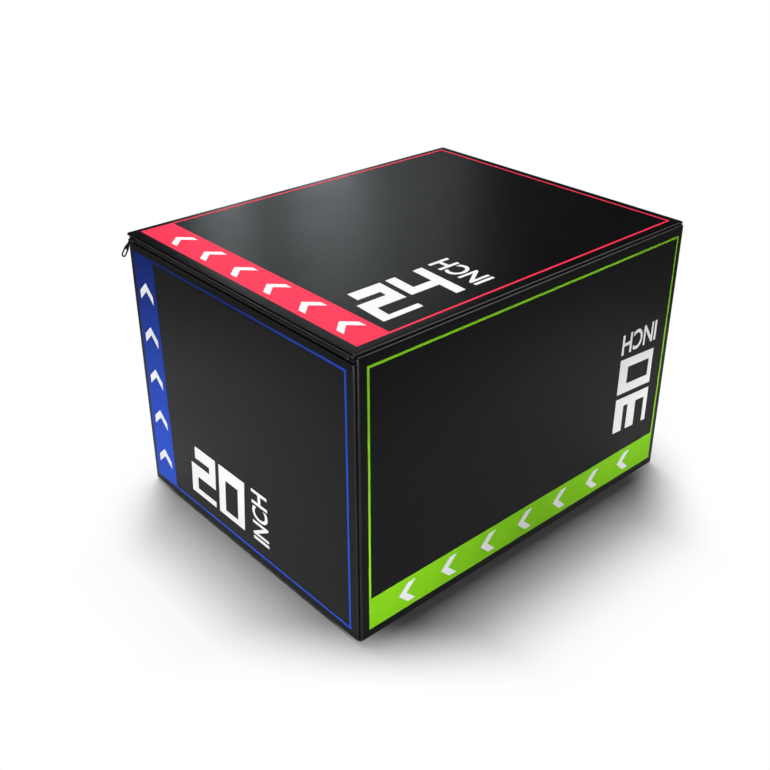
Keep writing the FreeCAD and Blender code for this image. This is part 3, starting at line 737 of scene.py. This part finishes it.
def coil_chain(node, body, nylon):
    """One side of the zip's coil: a row of teeth, those of the two sides standing in each other's gaps."""
    low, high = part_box(node)
    upper = "upper" in node
    bottom = low.z - TOOTH_MESH if upper else low.z
    top = high.z if upper else high.z + TOOTH_MESH
    one = tooth(bottom, top)
    data = bpy.data.meshes.new("tooth")
    one.to_mesh(data)
    one.free()
    shift = Matrix.Translation((0.0 if upper else TOOTH_PITCH / 2, 0.0, 0.0))
    mesh = bmesh.new()
    for point, heading in coil_places(node):
        before = len(mesh.verts)
        mesh.from_mesh(data)
        mesh.verts.ensure_lookup_table()
        place = Matrix.Translation(point) @ Matrix.Rotation(heading, 4, "Z") @ shift
        bmesh.ops.transform(mesh, matrix=place, verts=mesh.verts[before:])
    bpy.data.meshes.remove(data)
    piece = settle(node + "_coil", mesh, [nylon], body, crease=60)
    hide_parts(node)
    return piece


# Stage

def aim_camera():
    """The camera at the photograph's angle, fitted to the seven corners of the box that it shows."""
    data = bpy.data.cameras.new("camera")
    data.sensor_width = SENSOR
    data.lens = FOCAL / PICTURE * SENSOR
    data.shift_y = CAMERA_SHIFT
    camera = bpy.data.objects.new("camera", data)
    turn, lift = math.radians(CAMERA_TURN), math.radians(CAMERA_LIFT)
    back = Vector((math.sin(turn) * math.cos(lift), -math.cos(turn) * math.cos(lift), math.sin(lift)))
    camera.location = Vector(CAMERA_TARGET) + back * CAMERA_DISTANCE
    camera.rotation_euler = (-back).to_track_quat("-Z", "Y").to_euler()
    bpy.context.scene.collection.objects.link(camera)
    bpy.context.scene.camera = camera


def softbox(name, place, target, size, power, spread=180, colour=(1.0, 1.0, 1.0), card=False):
    """A rectangular soft light. A spread under 180 degrees stands for a grid on its front; a card lights nothing
    and shows only as a reflection."""
    data = bpy.data.lights.new(name, "AREA")
    data.shape = "RECTANGLE"
    data.size, data.size_y = size
    data.energy = power
    data.color = colour
    data.spread = math.radians(spread)
    lamp = bpy.data.objects.new(name, data)
    lamp.visible_camera = False
    lamp.visible_diffuse = not card
    lamp.location = place
    lamp.rotation_euler = (Vector(target) - Vector(place)).to_track_quat("-Z", "Y").to_euler()
    bpy.context.scene.collection.objects.link(lamp)
    return lamp


def lay_floor():
    """A white floor that keeps the shadow near the box and fades to even white further out, sooner past the corners:
    to the camera it glows white there, a painted light that also lifts the shadow a little everywhere and shortens it
    past the corners. The light that bounces off it finds it grey. The vinyl reflects it lighter than it is lit, a
    painted reflection of a glowing floor, from past a dark rim at the foot of the box."""
    mesh = bmesh.new()
    bmesh.ops.create_circle(mesh, cap_ends=True, radius=FLOOR_RADIUS, segments=96)
    data = bpy.data.meshes.new("floor")
    mesh.to_mesh(data)
    mesh.free()
    data.transform(Matrix.Translation((0.0, 0.0, -FLOOR_DROP)))
    material, tree, shader, place = new_material("floor_paper")
    shader.inputs["Roughness"].default_value = 0.9
    shader.inputs["Specular IOR Level"].default_value = 0.0
    side = add(tree, "ShaderNodeVectorMath", {0: place}, operation="ABSOLUTE")
    past = add(tree, "ShaderNodeVectorMath", {0: side.outputs["Vector"], 1: BOX_HIGH}, operation="SUBTRACT")
    past = add(tree, "ShaderNodeVectorMath", {0: past.outputs["Vector"], 1: (0.0, 0.0, 0.0)}, operation="MAXIMUM")
    far = add(tree, "ShaderNodeVectorMath", {0: past.outputs["Vector"]}, operation="LENGTH")
    # A chamfered outline, so that the camera's painted glow comes in sooner past the corners and shortens the shadow
    # there
    chamfer = BOX_HIGH - Vector((FADE_CORNER, FADE_CORNER, 0.0))
    blunt = add(tree, "ShaderNodeVectorMath", {0: side.outputs["Vector"], 1: chamfer}, operation="SUBTRACT")
    blunt = add(tree, "ShaderNodeVectorMath", {0: blunt.outputs["Vector"], 1: (0.0, 0.0, 0.0)}, operation="MAXIMUM")
    blunt = add(tree, "ShaderNodeVectorMath", {0: blunt.outputs["Vector"], 1: (1.0, 1.0, 0.0)},
                operation="DOT_PRODUCT")
    fade = add(tree, "ShaderNodeMapRange", {"Value": blunt.outputs["Value"], "From Min": FADE[0], "From Max": FADE[1],
                                            "To Min": FADE_LEAST}, interpolation_type="SMOOTHSTEP")
    # The glow that reflections see, a painted reflection: it comes in with distance, stands at up to CLOSE_MOST near
    # the box, and leaves a thin dark rim at the foot
    reflected_glow = add(tree, "ShaderNodeMapRange", {"Value": far.outputs["Value"], "From Min": REFLECTED_GLOW[0],
                                             "From Max": REFLECTED_GLOW[1]}, interpolation_type="SMOOTHSTEP")
    close = add(tree, "ShaderNodeMapRange", {"Value": far.outputs["Value"], "From Max": CLOSE, "To Min": CLOSE_MOST,
                                             "To Max": 0.0})
    rim = add(tree, "ShaderNodeMapRange", {"Value": far.outputs["Value"], "From Max": RIM, "To Max": CLOSE_MOST})
    close = add(tree, "ShaderNodeMath", {0: close.outputs["Result"], 1: rim.outputs["Result"]}, operation="MINIMUM")
    reflected_glow = add(tree, "ShaderNodeMath", {0: reflected_glow.outputs["Result"], 1: close.outputs["Value"]},
                operation="MAXIMUM")
    near = add(tree, "ShaderNodeMapRange", {"Value": far.outputs["Value"], "From Min": SHINE[0], "From Max": SHINE[1],
                                            "To Min": SHINE_MOST, "To Max": 0.0})
    path = add(tree, "ShaderNodeLightPath")
    shine = add(tree, "ShaderNodeMath", {0: path.outputs["Is Glossy Ray"], 1: near.outputs["Result"]},
                operation="MULTIPLY")
    look = add(tree, "ShaderNodeMath", {0: path.outputs["Is Camera Ray"], 1: path.outputs["Is Transmission Ray"]},
               operation="MAXIMUM")
    seen = add(tree, "ShaderNodeMath", {0: shine.outputs["Value"], 1: look.outputs["Value"]}, operation="MAXIMUM")
    # White to the camera and, near the box, to reflections; grey to the light that bounces off it
    paper = add(tree, "ShaderNodeMix", {"Factor": seen.outputs["Value"], "A": linear("#949494"),
                                        "B": linear("#FCFCFC")}, data_type="RGBA")
    tree.links.new(paper.outputs["Result"], shader.inputs["Base Color"])
    faded = add(tree, "ShaderNodeMath", {0: fade.outputs["Result"], 1: look.outputs["Value"]}, operation="MULTIPLY")
    share = add(tree, "ShaderNodeMath", {0: reflected_glow.outputs["Value"], 1: shine.outputs["Value"],
                                         2: faded.outputs["Value"]}, operation="MULTIPLY_ADD")
    # The floor glows though it is no lamp: painted light over the shadow for the camera, and a painted reflection in
    # the vinyl
    glow = add(tree, "ShaderNodeEmission", {"Color": (1.0, 1.0, 1.0, 1.0), "Strength": 1.0})
    mixed = add(tree, "ShaderNodeMixShader", {0: share.outputs["Value"], 1: shader.outputs["BSDF"],
                                              2: glow.outputs["Emission"]})
    tree.links.new(mixed.outputs["Shader"], tree.nodes["Material Output"].inputs["Surface"])
    data.materials.append(material)
    floor = bpy.data.objects.new("floor", data)
    bpy.context.scene.collection.objects.link(floor)
    return floor


def light_room(floor, sides):
    """A dim room, white where the camera sees past the floor, with soft lights above and behind the box. The fills
    light the box alone, so that the floor keeps its shadow, and the two at the front corners spare the side panels,
    which they would only graze."""
    world = bpy.data.worlds.new("studio")
    world.use_nodes = True
    tree = world.node_tree
    room = tree.nodes["Background"]
    room.inputs["Color"].default_value = (1.0, 1.0, 1.0, 1.0)
    room.inputs["Strength"].default_value = ROOM_LIGHT
    white = add(tree, "ShaderNodeBackground", {"Color": (1.0, 1.0, 1.0, 1.0), "Strength": 1.0})
    path = add(tree, "ShaderNodeLightPath")
    way = add(tree, "ShaderNodeSeparateXYZ", {"Vector": add(tree, "ShaderNodeTexCoord").outputs["Generated"]})
    low = add(tree, "ShaderNodeMath", {0: way.outputs["Z"], 1: HORIZON}, operation="LESS_THAN")
    shine = add(tree, "ShaderNodeMath", {0: low.outputs["Value"], 1: path.outputs["Is Glossy Ray"]},
                operation="MULTIPLY")
    seen = add(tree, "ShaderNodeMath", {0: path.outputs["Is Camera Ray"], 1: shine.outputs["Value"]},
               operation="MAXIMUM")
    seen = add(tree, "ShaderNodeMath", {0: seen.outputs["Value"], 1: path.outputs["Is Transmission Ray"]},
               operation="MAXIMUM")
    mixed = add(tree, "ShaderNodeMixShader", {0: seen.outputs["Value"], 1: room.outputs["Background"],
                                              2: white.outputs["Background"]})
    tree.links.new(mixed.outputs["Shader"], tree.nodes["World Output"].inputs["Surface"])
    bpy.context.scene.world = world
    middle, cool = (0.0, 0.0, 0.5), (0.93, 1.0, 1.03)
    softbox("overhead_softbox", (0.33, 1.05, 6.0), (0.33, 1.05, 0.0), (2.35, 2.5), 372.0)
    softbox("back_softbox", (1.78, 2.5, 1.8), middle, (0.34, 0.9), 1.85, colour=cool)
    softbox("back_right_softbox", (2.15, 2.3, 1.85), middle, (0.6, 1.1), 1.65, colour=cool)
    softbox("back_left_softbox", (1.31, 2.65, 1.5), middle, (0.2, 0.8), 2.0, colour=cool)
    softbox("back_low_softbox", (1.76, 2.5, 1.2), middle, (0.35, 0.25), 1.0, colour=cool)
    softbox("high_card", (1.55, -1.0, 2.33), (0.0, -0.305, 0.5), (1.6, 1.6), 30.0, card=True)
    softbox("low_card", (-0.714, -0.679, 0.24), (-0.381, -0.305, 0.45), (0.35, 0.2), 0.6, card=True)
    fills = [
        (softbox("left_fill", (-1.7, -0.16, 0.14), (-0.381, -0.04, 0.2), (1.2, 0.2), 3.95, 70), []),
        (softbox("front_top_fill", (-0.25, -1.5, 0.75), (-0.25, -0.305, 0.6), (1.2, 0.1), 0.7, 30), []),
        (softbox("front_left_fill", (-0.75, -1.6, 0.14), (-0.36, -0.305, 0.12), (0.4, 0.2), 0.84, 37),
         sides["left"]),
        (softbox("front_right_fill", (0.75, -1.6, 0.14), (0.33, -0.305, 0.16), (0.4, 0.2), 0.66, 33),
         sides["right"]),
    ]
    for fill, spared in fills:
        apart = bpy.data.collections.new(fill.name + "_apart")
        for thing in [floor] + spared:
            apart.objects.link(thing)
        for entry in apart.collection_objects:
            entry.light_linking.link_state = "EXCLUDE"
        fill.light_linking.receiver_collection = apart


for leftover in list(bpy.data.objects):
    bpy.data.objects.remove(leftover)
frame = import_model()
covers = [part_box(FACES[face][0]) for face in FACES]
BOX_LOW = Vector(min(low[axis] for low, high in covers) for axis in range(3))
BOX_HIGH = Vector(max(high[axis] for low, high in covers) for axis in range(3))
EDGES = {face: panel_edges(face) for face in FACES}

vinyl, fold = pvc_vinyl("pvc_vinyl", 0.28, 0.31, 0.1), pvc_vinyl("pvc_vinyl_fold", 0.24, 0.27, 0.35)
backing = scrim_backing()
white = vinyl_ink("white_ink", "#F2F2F2", "#E9E9E9", 0.1)
inks = {
    "red": vinyl_ink("red_ink", "#F02448", "#F52C52", 0.2),
    "green": vinyl_ink("green_ink", "#80C818", "#88D41C", 0.08),
    # The blue ink runs darker towards the top and back of the box, to #081E64: a painted shade
    "blue": vinyl_ink("blue_ink_painted_shade", "#264DC2", "#2B53C9", 0.06, "#081E64"),
}
sides = {}
for face in FACES:
    panel = sewn_panel(face, vinyl, backing, fold)
    prints = print_panel(face, inks[PRINTS[face]["ink"]], white) if face in PRINTS else []
    sides[face] = [panel] + prints

foam = polyurethane_foam()
for node in ("foam_top", "foam_bottom", "foam_front", "foam_back", "foam_left", "foam_right"):
    foam_slab(node, foam)

tape, nylon, enamel = polyester_tape(), nylon_coil(), enamelled_zinc()
for side, body in (("upper", "lid"), ("lower", "box")):
    woven_tape("zip_tape_" + side, body, tape)
    coil_chain(f"zip_chain_{side}_left", body, nylon)
    coil_chain(f"zip_chain_{side}_back", body, nylon)

plywood = [birch_plywood(across) for across in range(3)]
boards = {"base": 2, "top": 2, "front": 1, "back": 1, "left": 0, "right": 0, "long_brace": 1, "cross_brace": 0}
finishes = {"carcass_" + board: plywood[across] for board, across in boards.items()}
finishes.update({node: enamel for node in ("zip_stops", "zip_slider_left", "zip_slider_back", "zip_pull_left",
                                           "zip_pull_back")})
for node, finish in finishes.items():
    for place in frame["nodes"][node].material_slots:
        place.material = finish

aim_camera()
light_room(lay_floor(), sides)
bpy.context.scene.view_settings.view_transform = "Standard"
